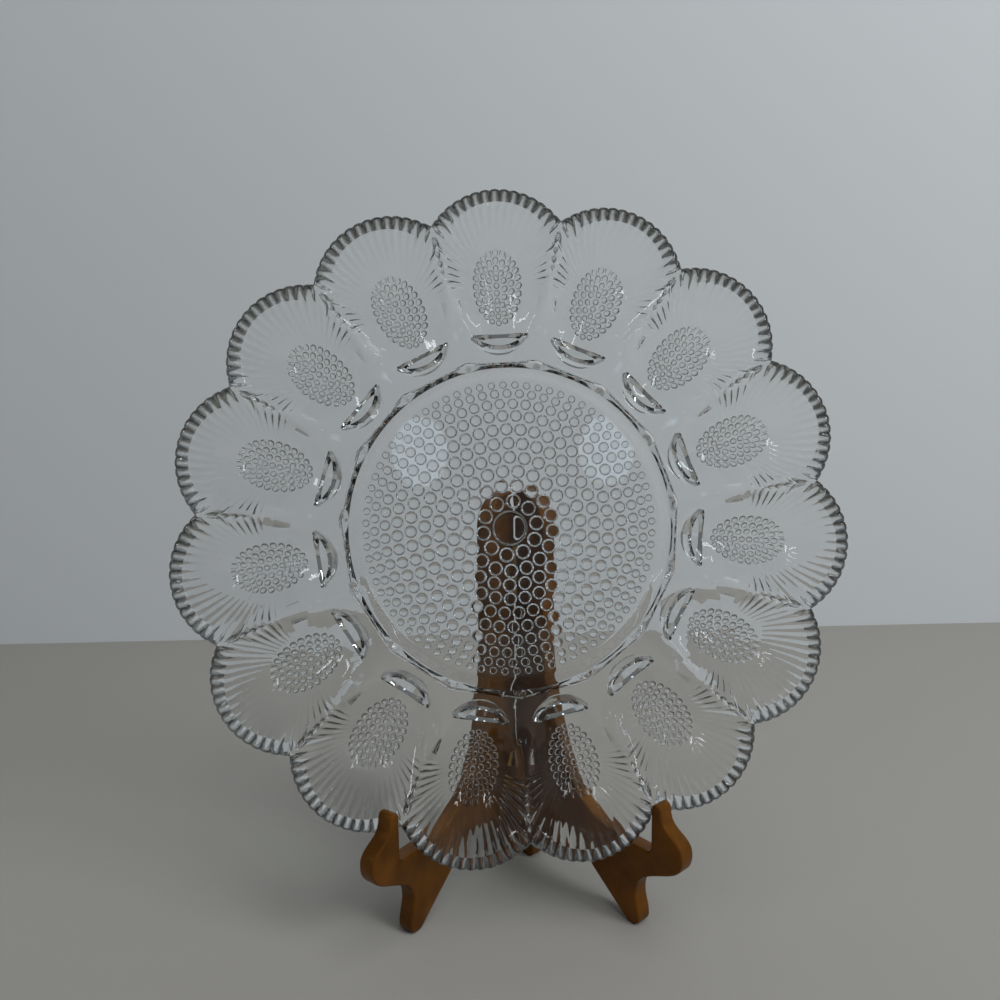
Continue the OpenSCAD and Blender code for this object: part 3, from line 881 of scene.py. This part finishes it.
def finish_piece(obj, mat, cad):
    """Gives a piece its material, and ties it to the node that it replaces."""
    obj.data.materials.clear()
    obj.data.materials.append(mat)
    bodies = frame["record"]["behaviour"]["bodies"]
    body = next(name for name, nodes in bodies.items() if cad in nodes)
    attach(obj, body)
    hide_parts(cad)


def material(name, make, kit):
    """The material of that name, made at its first use."""
    return bpy.data.materials.get(name) or make(kit)


class EGG_OT_platter(bpy.types.Operator):
    """Builds the pressed-glass platter: smooth wells above, hobnails and flutes below"""
    bl_idname = "egg.platter"
    bl_label = "Platter"

    def execute(self, context):
        kit = context.scene.egg_platter
        mesh = build_platter(kit)
        obj = new_object("platter_glass", mesh.points, mesh.faces)
        outward(obj)
        feet = join("feet", [build_foot(k) for k in range(WELLS)])
        only(obj)
        mod = obj.modifiers.new("feet", "BOOLEAN")
        mod.operation, mod.solver, mod.object = "UNION", "MANIFOLD", feet
        bpy.ops.object.modifier_apply(modifier=mod.name)
        bpy.data.objects.remove(feet)
        set_in_place(obj, platter_matrix())
        bpy.ops.object.shade_smooth_by_angle(angle=SHADE_GLASS)
        finish_piece(obj, material("pressed_glass", glass_material, kit), "platter")
        return {"FINISHED"}


class EGG_OT_boards(bpy.types.Operator):
    """Builds the two scroll-cut boards with softly rounded edges"""
    bl_idname = "egg.boards"
    bl_label = "Boards"

    def execute(self, context):
        kit = context.scene.egg_stand
        mat = material("brushed_bronze_paint", bronze_material, kit)
        for side, cad in ((-1, "left_board"), (1, "right_board")):
            finish_piece(build_board(side, kit), mat, cad)
        return {"FINISHED"}


class EGG_OT_hinges(bpy.types.Operator):
    """Builds the brass hinges: leaves, rolled knuckles, pins and screws"""
    bl_idname = "egg.hinges"
    bl_label = "Hinges"

    def execute(self, context):
        kit = context.scene.egg_stand
        mat = material("brass_sheet", brass_material, kit)
        part = (HINGE_H - 2 * KNUCKLE_GAP) / 3
        for where, mid in HINGES:
            for side, word in ((-1, "left"), (1, "right")):
                own = ((-HINGE_H / 2, HINGE_H / 2 - part) if side < 0 else (-part / 2,))
                pieces = [add_box("leaf", (LEAF_U - LEAF_T, LEAF_ROOT, mid - HINGE_H / 2),
                                  (LEAF_U, LEAF_W, mid + HINGE_H / 2))]
                for z in own:
                    pieces.append(add_tube("knuckle", KNUCKLE_D / 2, PIN_D / 2 + PIN_PLAY, part,
                                           (0, 0, mid + z)))
                    pieces.append(add_box("wrap", (LEAF_U - LEAF_T, WRAP_LOW, mid + z),
                                          (LEAF_U, WRAP_HIGH, mid + z + part), 0))
                obj = join(f"{where}_{word}_leaf_brass", pieces)
                set_in_place(obj, half_matrix(side))
                only(obj)
                bpy.ops.object.shade_smooth_by_angle(angle=SHADE_BRASS)
                finish_piece(obj, mat, f"{where}_hinge_{word}_leaf")
            pin = add_cylinder(f"{where}_pin_brass", PIN_HEAD_R, PIN_HEAD_H,
                               (0, 0, mid - HINGE_H / 2 - PIN_HEAD_H), bevel=PIN_BEVEL)
            head = add_cylinder("head", PIN_HEAD_R, PIN_HEAD_H, (0, 0, mid + HINGE_H / 2),
                                bevel=PIN_BEVEL)
            shaft = add_cylinder("shaft", PIN_D / 2, HINGE_H, (0, 0, mid - HINGE_H / 2))
            pin = join(f"{where}_pin_brass", [pin, head, shaft])
            axis = Matrix.Translation((STAND_X * MM, HINGE_Y * MM, 0))
            set_in_place(pin, axis @ Matrix.Scale(MM, 4))
            only(pin)
            bpy.ops.object.shade_smooth_by_angle(angle=SHADE_BRASS)
            finish_piece(pin, mat, f"{where}_hinge_pin")
        for side, word in ((-1, "left"), (1, "right")):
            parts = []
            for _, mid in HINGES:
                for s in (-1, 1):
                    z = mid + s * HINGE_H / 4
                    top = LEAF_U - LEAF_T - SCREW_HEAD_H
                    parts.append(add_cylinder("head", SCREW_HEAD_D / 2, SCREW_HEAD_H,
                                              (top, SCREW_N, z), "X", bevel=SCREW_BEVEL))
                    parts.append(add_cylinder("shank", SHANK_R, SHANK_L,
                                              (LEAF_U - LEAF_T, SCREW_N, z), "X", 16))
            obj = join(f"{word}_screws_brass", parts)
            set_in_place(obj, half_matrix(side))
            only(obj)
            bpy.ops.object.shade_smooth_by_angle(angle=SHADE_BRASS)
            finish_piece(obj, mat, f"{word}_hinge_screws")
        return {"FINISHED"}


def add_light(name, place, target, wide, high, power, tone, shape):
    """An area light that looks at its target."""
    data = bpy.data.lights.new(name, "AREA")
    data.shape, data.size, data.size_y, data.energy, data.color = shape, wide, high, power, tone
    obj = bpy.data.objects.new(name, data)
    bpy.context.collection.objects.link(obj)
    obj.location = place
    obj.rotation_euler = (Vector(target) - Vector(place)).to_track_quat("-Z", "Y").to_euler()
    return obj


def add_plane(name, centre, wide, high, turn, mat):
    """A flat piece of floor or wall."""
    bpy.ops.object.select_all(action="DESELECT")
    bpy.ops.mesh.primitive_plane_add(size=1, location=(0, 0, 0))
    obj = bpy.context.active_object
    obj.name = name
    obj.data.transform(Matrix.Translation(centre) @ turn @ Matrix.Diagonal((wide, high, 1, 1)))
    obj.data.materials.append(mat)
    return obj


# The camera in the frame: its place in millimetres, its direction and its roll
CAMERA_AT, CAMERA_TO, CAMERA_ROLL = (-18.6, -308.0, 211.5), (0.0416, 0.9926, -0.1092), -0.57
WALL_Y = 0.406
WINDOW, PALE, DAY = (0.66, 0.86, 1.0), (0.92, 0.97, 1.0), (0.95, 0.98, 1.0)
AT_PLATTER, AT_STAND = (0, 0, 0.16), (0, 0.1, 0.1)
# Name, place, aim, width, height, share of the key light, colour and shape of each light. The
# windows are mirrored in the dish, and the narrow strips as thin bright lines in curved glass.
SHINES = (
    ("window_left", (-0.22, -2.7, 0.70), AT_PLATTER, 0.23, 0.29, 0.031, WINDOW, "ELLIPSE"),
    ("window_right", (0.56, -2.7, 0.70), AT_PLATTER, 0.23, 0.29, 0.031, WINDOW, "ELLIPSE"),
    ("strip_right", (1.8, -1.2, 1.3), AT_STAND, 0.12, 1.1, 0.35, PALE, "RECTANGLE"),
    ("strip_left", (-1.8, -1.0, 1.3), AT_STAND, 0.10, 0.9, 0.25, PALE, "RECTANGLE"),
)
# These light the room, and the glass doesn't mirror them
SOFT_LIGHTS = (
    ("side_window", (1.9, -1.2, 1.5), AT_STAND, 1.0, 1.0, 4.0, DAY, "RECTANGLE"),
    ("ceiling", (0.5, -0.6, 2.2), AT_STAND, 1.8, 1.8, 3.0, DAY, "RECTANGLE"),
)


class EGG_OT_stage(bpy.types.Operator):
    """Sets the camera, a plain floor and wall, and soft window light"""
    bl_idname = "egg.stage"
    bl_label = "Stage"

    def execute(self, context):
        kit = context.scene.egg_stage
        add_plane("floor", (0, -1.0, 0), 8, 8, Matrix.Identity(4),
                  plain_material("floor_paint", kit.floor))
        add_plane("wall", (1.9, WALL_Y, 1.5), 5, 3.2, Matrix.Rotation(math.pi / 2, 4, "X"),
                  plain_material("wall_paint", kit.wall, True))
        # a dark room behind the camera, which the glass's edges pick up
        world = bpy.data.worlds.new("room")
        context.scene.world = world
        world.use_nodes = True
        tree = world.node_tree
        tree.nodes.clear()
        out = node(tree, "ShaderNodeOutputWorld", 300, 0)
        sky = node(tree, "ShaderNodeBackground", 0, 0, Strength=kit.fill)
        sky.inputs["Color"].default_value = (0.95, 0.98, 1.0, 1)
        tree.links.new(sky.outputs["Background"], out.inputs["Surface"])
        for name, place, aim, wide, high, share, tone, shape in SHINES:
            add_light(name, place, aim, wide, high, kit.key * share, tone, shape)
        for name, place, aim, wide, high, share, tone, shape in SOFT_LIGHTS:
            light = add_light(name, place, aim, wide, high, kit.key * share, tone, shape)
            light.visible_glossy = light.visible_transmission = False
        data = bpy.data.cameras.new("camera")
        data.lens, data.sensor_width = kit.lens, 36
        cam = bpy.data.objects.new("camera", data)
        context.collection.objects.link(cam)
        turn = Vector(CAMERA_TO).normalized().to_track_quat("-Z", "Y").to_matrix().to_4x4()
        roll = Matrix.Rotation(math.radians(CAMERA_ROLL), 4, "Z")
        cam.matrix_world = Matrix.Translation(Vector(CAMERA_AT) * MM) @ turn @ roll
        context.scene.camera = cam
        context.scene.view_settings.view_transform = "Standard"
        return {"FINISHED"}


class EGG_PT_panel(bpy.types.Panel):
    """Lists the builders in the sidebar"""
    bl_label = "Egg platter"
    bl_idname = "EGG_PT_panel"
    bl_space_type = "VIEW_3D"
    bl_region_type = "UI"
    bl_category = "Egg platter"

    def draw(self, context):
        for group, names in (("egg_platter", ("egg.platter",)),
                             ("egg_stand", ("egg.boards", "egg.hinges")),
                             ("egg_stage", ("egg.stage",))):
            kit = getattr(context.scene, group)
            box = self.layout.box()
            for key in kit.__annotations__:
                box.prop(kit, key)
            for name in names:
                box.operator(name)


CLASSES = (PlatterSettings, StandSettings, StageSettings, EGG_OT_platter, EGG_OT_boards,
           EGG_OT_hinges, EGG_OT_stage, EGG_PT_panel)


def register():
    """Registers the add-on's classes and settings."""
    for c in CLASSES:
        bpy.utils.register_class(c)
    bpy.types.Scene.egg_platter = PointerProperty(type=PlatterSettings)
    bpy.types.Scene.egg_stand = PointerProperty(type=StandSettings)
    bpy.types.Scene.egg_stage = PointerProperty(type=StageSettings)


def unregister():
    """Takes the add-on's settings and classes away again."""
    del bpy.types.Scene.egg_platter, bpy.types.Scene.egg_stand, bpy.types.Scene.egg_stage
    for c in reversed(CLASSES):
        bpy.utils.unregister_class(c)


def main():
    register()
    bpy.ops.egg.platter()
    bpy.ops.egg.boards()
    bpy.ops.egg.hinges()
    bpy.ops.egg.stage()


if __name__ == "__main__":
    main()
